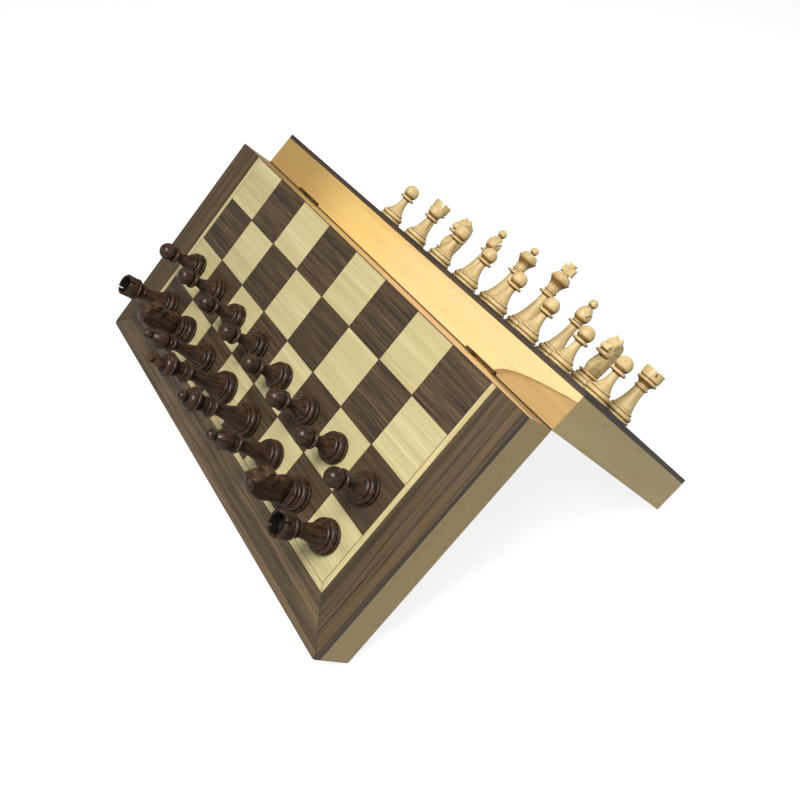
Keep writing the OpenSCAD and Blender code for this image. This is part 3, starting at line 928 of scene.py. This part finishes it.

# %% [markdown]
# ## The wood of the two armies
# The dark pieces are stained and then lacquered: nearly black in the grooves,
# red-brown where the stain is thin, with a thin clear coat that gives small
# bright highlights and is left out of the grooves. On both woods the grooves, the
# undersides and the rook's cup are also painted darker as shade, and the ridges
# lighter as a highlight. The light pieces are boxwood with only a satin polish,
# so their fine grain shows and their highlights are broad and faint. The grain
# runs up the piece, as it does in the stick that was put on the lathe.

# %% Lacquered and polished wood
def piece_wood(name, side, tones, ridge, groove, shares, seed):
    """Turned wood; the shares are those of the ridge tone, which paints rubbed edges and a
    highlight, and the groove tone, which paints stain and shade.
    """
    material, tree, shader, place = start_material(name, side)
    up_grain = swap(tree, place, "xzy")
    grain = use_group(tree, figure, Place=up_grain, Streak=0.0022, Fibre=0.00035,
                      Length=11.0, Seed=seed)
    colour = mix(tree, grain["Streaks"], *tones)
    colour = mix(tree, maths(tree, "MULTIPLY", grain["Fibres"], 0.25), colour, groove)
    tool_marks = noise(tree, join(tree, 0.0, 0.0, split(tree, place)[2]), 1300.0, 3.0, seed)
    marks = soft_step(tree, tool_marks, 0.5, 0.75)
    colour = mix(tree, maths(tree, "MULTIPLY", marks, 0.15), colour, groove)
    relief_value = add_node(tree, "Attribute", attribute_name="relief").outputs["Fac"]
    wear_light_masks = use_group(tree, wear, Relief=relief_value, Place=place)
    # Painted light: ridges are lightened as a highlight and grooves, undersides and cup insides
    # darkened as shade, on top of the rubbing and the stain.
    colour = mix(tree, maths(tree, "MULTIPLY", wear_light_masks["Ridge"], shares[0]), colour, ridge)
    colour = mix(tree, maths(tree, "MULTIPLY", wear_light_masks["Groove"], shares[1]), colour, groove)
    feed(tree, shader.inputs["Base Color"], colour)
    rough_height = maths(tree, "MULTIPLY_ADD", grain["Fibres"], 0.3, tool_marks)
    raise_by(tree, shader, rough_height, 0.2, 0.00015)
    return material, tree, shader, grain, wear_light_masks["Groove"]


# The ridge tone paints rubbed edges together with a painted highlight; the groove tone paints
# stain together with painted shade in grooves, under collars and in the rook's cup.
lacquer, tree, shader, grain, dull = piece_wood(
    "dark_lacquered_wood", "dark", (seen(31, 22, 16), seen(74, 52, 36)),
    seen(112, 78, 50), seen(10, 7, 5), (0.35, 0.85), 3.1)
polish = soft_step(tree, grain["Fibres"], 0, 1, 0.3, 0.42)
feed(tree, shader.inputs["Roughness"], maths(tree, "MULTIPLY_ADD", dull, 0.4, polish))
feed(tree, shader.inputs["Coat Weight"], maths(tree, "MULTIPLY_ADD", dull, -0.12, 0.12))
shader.inputs["Specular IOR Level"].default_value = 0.16
shader.inputs["Coat Roughness"].default_value = 0.14

# Here too the ridge tone is partly a painted highlight and the groove tone partly painted
# shade.
boxwood, tree, shader, grain, dull = piece_wood(
    "light_boxwood", "light", (seen(198, 170, 112), seen(217, 195, 140)),
    seen(232, 210, 155), seen(116, 82, 40), (0.5, 0.95), 8.4)
feed(tree, shader.inputs["Roughness"], soft_step(tree, grain["Fibres"], 0, 1, 0.42, 0.56))
print("piece woods:", lacquer.name, boxwood.name)

# %% [markdown]
# ## Felt and metal
# The pads under the pieces and the lining of the trays are green felt: no
# weave, only a soft cloudy nap that scatters light at its edges, which is what
# the sheen is for. Brass and steel are metallic, with brushing drawn out along
# one axis and a little dullness in patches.

# %% Felt, brass, steel and magnets
felt, tree, shader, place = start_material("green_felt")
nap = noise(tree, place, 900.0, 3.0, 0.0, 0.7)
clouds = noise(tree, place, 60.0, 2.0, 4.0)
colour = mix(tree, nap, seen(18, 58, 38), seen(40, 92, 62))
feed(tree, shader.inputs["Base Color"],
     mix(tree, soft_step(tree, clouds, 0.35, 0.7, 0, 0.4), colour, seen(26, 70, 48)))
shader.inputs["Roughness"].default_value = 0.95
shader.inputs["Sheen Weight"].default_value = 0.4
raise_by(tree, shader, nap, 0.5, 0.0003)


def metal(name, tones, rough, seed):
    """A brushed metal; the brushing runs along y."""
    material, tree, shader, place = start_material(name)
    brushed = use_group(tree, figure, Place=place, Streak=0.0008, Fibre=0.0002,
                        Length=30.0, Seed=seed)
    dull = soft_step(tree, noise(tree, place, 120.0, 3.0, seed), 0.4, 0.7)
    feed(tree, shader.inputs["Base Color"], mix(tree, dull, *tones))
    lines = soft_step(tree, brushed["Streaks"], 0, 1, rough, rough + 0.15)
    feed(tree, shader.inputs["Roughness"],
         maths(tree, "MULTIPLY_ADD", dull, 0.12, lines))
    shader.inputs["Metallic"].default_value = 1.0
    raise_by(tree, shader, brushed["Fibres"], 0.1, 0.00003)
    return material


# The brass is dark: partly its age, partly painted shade for the slot that the hinge sits in.
brass = metal("aged_brass", (seen(118, 92, 54), seen(62, 46, 27)), 0.45, 2.0)
steel = metal("bright_steel", (seen(190, 192, 196), seen(160, 163, 168)), 0.3, 5.0)
magnet = metal("plated_magnet", (seen(176, 178, 182), seen(150, 152, 158)), 0.22, 9.0)
print("felt and metals ready")

# %% [markdown]
# ## The board's woods
# The border is straight-grained walnut with clear dark lines; its strips meet in
# mitres, and the two end strips come from a slightly darker board than the long
# one. The squares are walnut and maple, each with grain along the hinge, and the
# stringing is plain maple.

# %% Border and stringing
EDGE_STAIN = seen(50, 40, 31)


def strip_place(tree, place, inset):
    """On mitred strips: grain position, mitre lines, edge distance, end strips."""
    x, y, z = split(tree, place)
    from_side = maths(tree, "SUBTRACT", board_width - inset, x)
    from_end = maths(tree, "SUBTRACT", half_length - inset, maths(tree, "ABSOLUTE", y))
    on_end = maths(tree, "LESS_THAN", from_end, from_side)
    along_y = join(tree, x, y, z)
    which = maths(tree, "SIGN", y)
    along_x = join(tree, maths(tree, "MULTIPLY_ADD", which, 0.7, y), x, z)
    node = add_node(tree, "Mix", data_type="VECTOR")
    for index, item in ((0, on_end), (4, along_y), (5, along_x)):
        feed(tree, node.inputs[index], item)
    apart = maths(tree, "ABSOLUTE", maths(tree, "SUBTRACT", from_side, from_end))
    mitre = soft_step(tree, apart, 0.0003, 0.0008, 1.0, 0.0)
    near_edge = maths(tree, "MINIMUM", from_side, from_end)
    return node.outputs[1], mitre, near_edge, on_end


def stain_edges(tree, colour, place):
    """Paints the outer faces of the playing surface with the dark edge stain."""
    x, y, z = split(tree, place)
    outward = maths(tree, "MINIMUM", maths(tree, "SUBTRACT", board_width, x),
                    maths(tree, "SUBTRACT", half_length, maths(tree, "ABSOLUTE", y)))
    nearest = maths(tree, "MINIMUM", outward, x)
    rim = soft_step(tree, nearest, 0.0001, 0.00035, 0.9, 0.0)
    return mix(tree, rim, colour, EDGE_STAIN)


def border_walnut(side):
    material, tree, shader, place = start_material("walnut_border_" + side, side)
    along, mitre, near_edge, on_end = strip_place(tree, place, 0.0)
    broad = use_group(tree, figure, Place=along, Streak=0.006, Fibre=0.0006, Length=50.0,
                      Seed=1.0 if side == "dark" else 6.0)
    fine = use_group(tree, figure, Place=along, Streak=0.0013, Fibre=0.00035,
                     Length=70.0, Seed=2.5)
    dark_tone = mix(tree, on_end, seen(62, 49, 34), seen(53, 40, 25))
    light_tone = mix(tree, on_end, seen(106, 87, 61), seen(91, 72, 46))
    colour = mix(tree, broad["Streaks"], dark_tone, light_tone)
    lines = maths(tree, "MULTIPLY", soft_step(tree, fine["Streaks"], 0.55, 1.0), 0.75)
    colour = mix(tree, lines, colour, seen(36, 27, 18))
    colour = mix(tree, maths(tree, "MULTIPLY", fine["Pores"], 0.5), colour, seen(50, 38, 30))
    inner = board_width - string_edge
    glue = maths(tree, "MAXIMUM", mitre,
                 soft_step(tree, near_edge, inner - 0.0006, inner - 0.0002))
    colour = mix(tree, maths(tree, "MULTIPLY", glue, 0.8), colour, seen(34, 26, 20))
    feed(tree, shader.inputs["Base Color"], stain_edges(tree, colour, place))
    satin(tree, shader, fine["Fibres"], (0.38, 0.52), 0.2, 0.00006)
    return material


def stringing_maple(side):
    material, tree, shader, place = start_material("maple_stringing_" + side, side)
    along, mitre, near_edge, _ = strip_place(tree, place, board_width - string_edge)
    grain = use_group(tree, figure, Place=along, Streak=0.0025, Fibre=0.0003,
                      Length=22.0, Seed=4.0)
    colour = mix(tree, grain["Streaks"], seen(170, 154, 106), seen(190, 176, 130))
    colour = mix(tree, maths(tree, "MULTIPLY", grain["Fibres"], 0.2), colour,
                 seen(150, 128, 84))
    glue = maths(tree, "MAXIMUM", mitre, soft_step(tree, near_edge, 0.0005, 0.0002))
    colour = mix(tree, maths(tree, "MULTIPLY", glue, 0.6), colour, seen(80, 62, 42))
    feed(tree, shader.inputs["Base Color"], stain_edges(tree, colour, place))
    satin(tree, shader, grain["Fibres"], (0.36, 0.5), 0.15, 0.00005)
    return material


print("border and stringing recipes ready")

# %% Squares
def square_wood(name, side, tones, line, line_share, glue_tone, sizes, seed):
    """One of the two square woods; sizes are of its streaks and its fibres."""
    material, tree, shader, place = start_material(name + "_" + side, side)
    lot = use_group(tree, lots, Place=place, Pitch=square_size)
    broad = use_group(tree, figure, Place=lot["Moved"], Streak=sizes[0],
                      Fibre=sizes[1], Length=30.0, Seed=seed)
    fine = use_group(tree, figure, Place=lot["Moved"], Streak=sizes[0] * 0.22,
                     Fibre=sizes[1], Length=60.0, Seed=seed + 3)
    colour = mix(tree, broad["Streaks"], *tones)
    colour = mix(tree, maths(tree, "MULTIPLY", fine["Streaks"], line_share), colour, line)
    colour = mix(tree, maths(tree, "MULTIPLY", fine["Pores"], line_share), colour, line)
    shade = soft_step(tree, lot["Tone"], 0, 1, 0.0, 0.3)
    colour = mix(tree, shade, colour, tones[0])
    colour = mix(tree, maths(tree, "MULTIPLY", lot["Joint"], 0.85), colour, glue_tone)
    feed(tree, shader.inputs["Base Color"], stain_edges(tree, colour, place))
    satin(tree, shader, fine["Fibres"], (0.36, 0.5), 0.15, 0.00005)
    return material


def walnut_square(side):
    return square_wood("walnut_square", side, (seen(60, 45, 30), seen(103, 82, 54)),
                       seen(28, 20, 15), 0.9, seen(26, 20, 16), (0.004, 0.0005), 2.0)


def maple_square(side):
    return square_wood("maple_square", side, (seen(170, 157, 112), seen(192, 181, 137)),
                       seen(148, 128, 84), 0.35, seen(72, 57, 38), (0.008, 0.0004), 5.0)


print("square recipes ready")

# %% [markdown]
# ## The pine walls
# The walls are pale knot-free pine. The two spine walls were sawn from one
# board, and a tongue of darker heartwood crosses both at the near end. A tongue
# like that is a cone of year rings cut at a slant, so its outline is a parabola:
# the distance along the wall minus the square of the height up it.

# %% Pine
TONGUE_START = 0.129
TONGUE_WIDE = 0.00758


def spine_pine(side):
    material, tree, shader, place = start_material("spine_pine_" + side, side)
    x, y, z = split(tree, place)
    along = maths(tree, "MULTIPLY", y, -1.0 if side == "dark" else 1.0)
    grain = use_group(tree, figure, Place=place, Streak=0.004, Fibre=0.0004,
                      Length=40.0, Seed=3.0)
    ripple = noise(tree, place, 70.0, 3.0, 2.0)
    bow = maths(tree, "DIVIDE", maths(tree, "MULTIPLY", z, z), TONGUE_WIDE)
    inside = maths(tree, "SUBTRACT", maths(tree, "SUBTRACT", -TONGUE_START, along), bow)
    inside = maths(tree, "MULTIPLY_ADD", maths(tree, "SUBTRACT", ripple, 0.5), 0.006, inside)
    # Darker towards the far end and lighter at the near end: partly the board's own colour,
    # partly painted light falling off towards the far end.
    far = soft_step(tree, along, 0.05, 0.15)
    near = soft_step(tree, along, 0.05, -0.04)
    colour = mix(tree, far, seen(205, 173, 103), seen(160, 129, 73))
    colour = mix(tree, near, colour, seen(215, 178, 122))
    lines = maths(tree, "MULTIPLY", soft_step(tree, grain["Streaks"], 0.5, 1), 0.3)
    colour = mix(tree, lines, colour, seen(166, 124, 68))
    heart = mix(tree, soft_step(tree, inside, 0.0, 0.012), seen(130, 100, 56),
                seen(166, 135, 80))
    heart = mix(tree, maths(tree, "MULTIPLY", grain["Streaks"], 0.45), heart,
                seen(142, 110, 62))
    colour = mix(tree, soft_step(tree, inside, 0.0, 0.0015), colour, heart)
    # Painted shadow: a near-black band along the rim, where the two spine walls meet, paints
    # the shadow in the gap of the fold.
    crease = soft_step(tree, z, 0.0003, 0.0008, 0.95, 0.0)
    colour = mix(tree, crease, colour, seen(22, 15, 9))
    feed(tree, shader.inputs["Base Color"], colour)
    satin(tree, shader, grain["Fibres"], (0.42, 0.56), 0.2, 0.00006)
    return material


# Painted shade: these tones are set darker than the spine's pine to paint in the shade on the
# end walls, which face away from the lights; the outer walls share them.
WALL_TONES = {"dark": (seen(154, 132, 84), seen(166, 144, 94),
                       seen(160, 133, 85), seen(128, 103, 60)),
              "light": (seen(175, 154, 102), seen(188, 169, 116),
                        seen(182, 157, 107), seen(149, 123, 76))}


def wall_pine(side, order):
    """Plain pine for the other walls; the order says which axis the grain follows."""
    material, tree, shader, place = start_material("wall_pine_%s_%s" % (side, order), side)
    grain = use_group(tree, figure, Place=swap(tree, place, order), Streak=0.006,
                      Fibre=0.0004, Length=24.0, Seed=5.0)
    blotch = noise(tree, place, 26.0, 2.0, 1.0)
    low, high, warm, line = WALL_TONES[side]
    colour = mix(tree, grain["Streaks"], low, high)
    colour = mix(tree, soft_step(tree, blotch, 0.4, 0.65, 0, 0.5), colour, warm)
    colour = mix(tree, maths(tree, "MULTIPLY", grain["Fibres"], 0.2), colour, line)
    feed(tree, shader.inputs["Base Color"], colour)
    satin(tree, shader, grain["Fibres"], (0.42, 0.56), 0.15, 0.00005)
    return material


PLY_WAVE = 5200.0


def stained_edge(side):
    """The deck's stained edge, with its plies just showing."""
    material, tree, shader, place = start_material("stained_edge_" + side, side)
    up = split(tree, place)[2]
    grain = use_group(tree, figure, Place=place, Streak=0.004, Fibre=0.0004,
                      Length=20.0, Seed=1.5)
    ply = maths(tree, "SINE", maths(tree, "MULTIPLY", up, PLY_WAVE))
    colour = mix(tree, grain["Streaks"], seen(50, 40, 31), seen(68, 55, 42))
    colour = mix(tree, soft_step(tree, ply, 0.2, 1.0, 0, 0.25), colour, seen(38, 30, 23))
    feed(tree, shader.inputs["Base Color"], colour)
    feed(tree, shader.inputs["Roughness"], soft_step(tree, grain["Fibres"], 0, 1, 0.45, 0.6))
    raise_by(tree, shader, ply, 0.1, 0.00005)
    return material


print("pine recipes ready")

# %% [markdown]
# ## Finishing the board
# The walls, the deck, the inlays and the hinges have the right shape already, so
# the CAD nodes stay. Their meshes are loose triangles, which no one should see:
# a Weld joins them, a planar Decimate drops the needless diagonals, a small
# Bevel softens every arris as sandpaper does, and weighted normals keep the flat
# faces flat. All four are modifiers, so the CAD mesh itself isn't touched.

# %% Softened edges for the CAD nodes
def soften(node, width):
    """Gives a CAD node soft edges of a width in mm."""
    weld = node.modifiers.new("Join triangles", "WELD")
    weld.merge_threshold = 1e-6
    planar = node.modifiers.new("Drop diagonals", "DECIMATE")
    planar.decimate_type = "DISSOLVE"
    planar.angle_limit = math.radians(0.5)
    bevel = node.modifiers.new("Soft edges", "BEVEL")
    bevel.width = width * MM
    bevel.segments = 2
    bevel.limit_method = "ANGLE"
    bevel.angle_limit = math.radians(40)
    node.modifiers.new("Flat faces", "WEIGHTED_NORMAL")


def finish_node(name, material, width):
    node = frame["nodes"][name]
    if not node.data.materials:
        node.data.materials.append(material)
    for slot in node.material_slots:
        slot.material = material
    soften(node, width)


for side in SIDES:
    recipes = {
        "spine_wall": (spine_pine(side), 0.1), "outer_wall": (wall_pine(side, "xyz"), 0.4),
        "end_walls": (wall_pine(side, "yxz"), 0.15), "deck": (stained_edge(side), 0.15),
        "steel_sheet": (steel, 0.05), "border": (border_walnut(side), 0.15),
        "stringing": (stringing_maple(side), 0.08),
        "walnut_squares": (walnut_square(side), 0.12),
        "maple_squares": (maple_square(side), 0.12), "tray_insert": (felt, 0.4),
        "closing_magnets": (magnet, 0.2), "hinge_leaves": (brass, 0.12),
        "hinge_screws": (brass, 0.08)}
    for part, (material, width) in recipes.items():
        finish_node(side + "_side_" + part, material, width)
finish_node("hinge_pins", brass, 0.1)
print("board nodes finished:", 2 * len(recipes) + 1)

# %% [markdown]
# ## The dark line in the fold
# Where the two spine walls meet, the shadow in the crease shows as a hairline of
# black from end to end. It is painted in as a dark bead only 0.4 mm thick that
# lies on the hinge axis itself, so it clears both halves at every angle. It
# leaves out the stretches that the hinge pins fill.

# %% The crease
def lay_crease(radius):
    """Three thin beads along the hinge axis, as one piece."""
    pins = [v.co.y for v in frame["nodes"]["hinge_pins"].data.vertices]
    near_pin = [y for y in pins if y < 0]
    far_pin = [y for y in pins if y > 0]
    clear = 0.5 * MM
    stops = [-half_length + clear, min(near_pin) - clear, max(near_pin) + clear,
             min(far_pin) - clear, max(far_pin) + clear, half_length - clear]
    beads = []
    for start, end in zip(stops[::2], stops[1::2]):
        clear_selection()
        bpy.ops.mesh.primitive_cylinder_add(vertices=12, radius=radius * MM,
                                            depth=end - start,
                                            location=(0, (start + end) / 2, pin_height),
                                            rotation=(math.pi / 2, 0, 0))
        bead = bpy.context.object
        bpy.ops.object.transform_apply()
        edit_all(bead)
        bpy.ops.mesh.bevel(offset=0.05 * MM, segments=1, affect="EDGES")
        bpy.ops.object.mode_set(mode="OBJECT")
        beads.append(bead)
    clear_selection()
    for bead in beads:
        bead.select_set(True)
    bpy.context.view_layer.objects.active = beads[0]
    bpy.ops.object.join()
    return bpy.context.object


crease = lay_crease(0.19)
crease.name = "crease_line"
crease.data.name = "crease_line"
# Painted shadow: the bead's near-black colour stands in for the shade in the gap between the
# spine walls.
crease_shadow_paint, tree, shader, place = start_material("crease_grime")
specks = noise(tree, place, 1500.0, 2.0)
feed(tree, shader.inputs["Base Color"], mix(tree, specks, seen(14, 10, 7), seen(34, 25, 16)))
shader.inputs["Roughness"].default_value = 0.85
crease.data.materials.append(crease_shadow_paint)
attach(crease, "dark_side")
print("crease:", len(crease.data.polygons), "faces")

# %% [markdown]
# ## Setting the pieces out
# Each piece is a copy of its master with a mesh of its own, moved to where the
# CAD piece of that name stands. A copy rides on the body of its CAD piece, so
# it lifts off its square with it. The felt pad and the sealed magnet are pieces
# too, in materials of their own.

# %% Pads and magnets, modelled once
def turn_pad(radius):
    top = PAD - 0.05
    return lathe("pad_master", [(0, 0.02), (radius - 0.3, 0)]
                 + arc(radius - 0.3, top / 2, top / 2, -90, 90, 4)[1:] + [(0, top - 0.02)])


def turn_magnet():
    low, high, edge = PAD + 0.02, PAD + MAGNET_H, 0.3
    return lathe("magnet_master", [(0, low), (MAGNET_R - edge, low), (MAGNET_R, low + edge),
                                   (MAGNET_R, high - edge), (MAGNET_R - edge, high), (0, high)])


EXAMPLES = {"king": "king", "queen": "queen", "bishop": "kings_bishop",
            "knight": "kings_knight", "rook": "kings_rook", "pawn": "pawn_1"}
masters["magnet"] = turn_magnet()
smooth(masters["magnet"])
pads = {}
for kind, example in EXAMPLES.items():
    pads[kind] = turn_pad(size_of("light_" + example)[0] - 1.0)
    smooth(pads[kind])
print("pads:", len(pads))

# %% All thirty-two
def set_out(master, name, node, side, material):
    """Copies a master to the square of a CAD piece."""
    low, high = laid_flat(node, half_axes[side])
    stand = Matrix.Translation(((low.x + high.x) / 2, (low.y + high.y) / 2, low.z))
    piece = master.copy()
    piece.data = master.data.copy()
    piece.name = name
    piece.data.name = name
    bpy.context.scene.collection.objects.link(piece)
    piece.data.transform(half_axes[side] @ stand)
    piece.data.materials.clear()
    piece.data.materials.append(material)
    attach(piece, node)
    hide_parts(node)
    return piece


count = 0
for side, material in (("dark", lacquer), ("light", boxwood)):
    for node in sorted(n for n in frame["bodies"] if n.startswith(side)
                       and not n.endswith("_side")):
        plain = node.replace("kings_", "").replace("queens_", "")
        kind = next(k for k in EXAMPLES if k in plain)
        set_out(masters[kind], node + "_turned", node, side, material)
        set_out(pads[kind], node + "_pad", node, side, felt)
        set_out(masters["magnet"], node + "_magnet", node, side, magnet)
        count += 1
for master in [*masters.values(), *pads.values()]:
    bpy.data.objects.remove(master)
print("pieces set out:", count)

# %% [markdown]
# ## Floor and light
# The floor is a white plane that glows a little, like a light table, so that the
# shadow under the tent stays pale. Floor and surroundings look brighter than the
# light they give off: the Is Camera Ray output tells the two apart, so that the
# undersides keep their shade and no haze lies on the lacquer. One main light hangs
# high on the left, towards the near end, and a weaker one on the right keeps the
# far slope readable.

# %% Floor
clear_selection()
bpy.ops.mesh.primitive_plane_add(size=8)
floor = bpy.context.object
floor.name = "studio_floor"
white, tree, shader, place = start_material("glowing_white_floor")
mottle = noise(tree, place, 14.0, 2.0)
feed(tree, shader.inputs["Base Color"], mix(tree, mottle, seen(134, 134, 134),
                                            seen(140, 140, 140)))
shader.inputs["Roughness"].default_value = 0.9
shader.inputs["Emission Color"].default_value = (1, 1, 1, 1)


def bright_to_the_eye(tree, socket, looks, gives):
    """Feeds a strength that looks brighter than the light that it gives."""
    seen_straight = add_node(tree, "LightPath").outputs["Is Camera Ray"]
    feed(tree, socket, maths(tree, "MULTIPLY_ADD", seen_straight, looks - gives, gives))


bright_to_the_eye(tree, shader.inputs["Emission Strength"], 0.86, 0.36)
floor.data.materials.append(white)
print("floor", floor.dimensions[:2])

# %% Light
def soft_light(name, place, size, power, target=(0, 0, 0.06)):
    """A square area light in watts, aimed at the board."""
    clear_selection()
    bpy.ops.object.light_add(type="AREA", location=place)
    light = bpy.context.object
    light.name = name
    light.data.size = size
    light.data.energy = power
    aim = Vector(target) - Vector(place)
    light.rotation_euler = aim.to_track_quat("-Z", "Y").to_euler()


soft_light("main_light", (-0.42, -0.3, 0.9), 0.4, 12.8)
soft_light("right_light", (0.95, 0.05, 0.6), 0.6, 4.5)
world = bpy.data.worlds.new("white_room")
world.use_nodes = True
background = world.node_tree.nodes["Background"]
background.inputs["Color"].default_value = (1, 1, 1, 1)
bright_to_the_eye(world.node_tree, background.inputs["Strength"], 1.0, 0.27)
bpy.context.scene.world = world
print("lights:", len(bpy.data.lights))

# %% Updating the scene
bpy.context.view_layer.update()
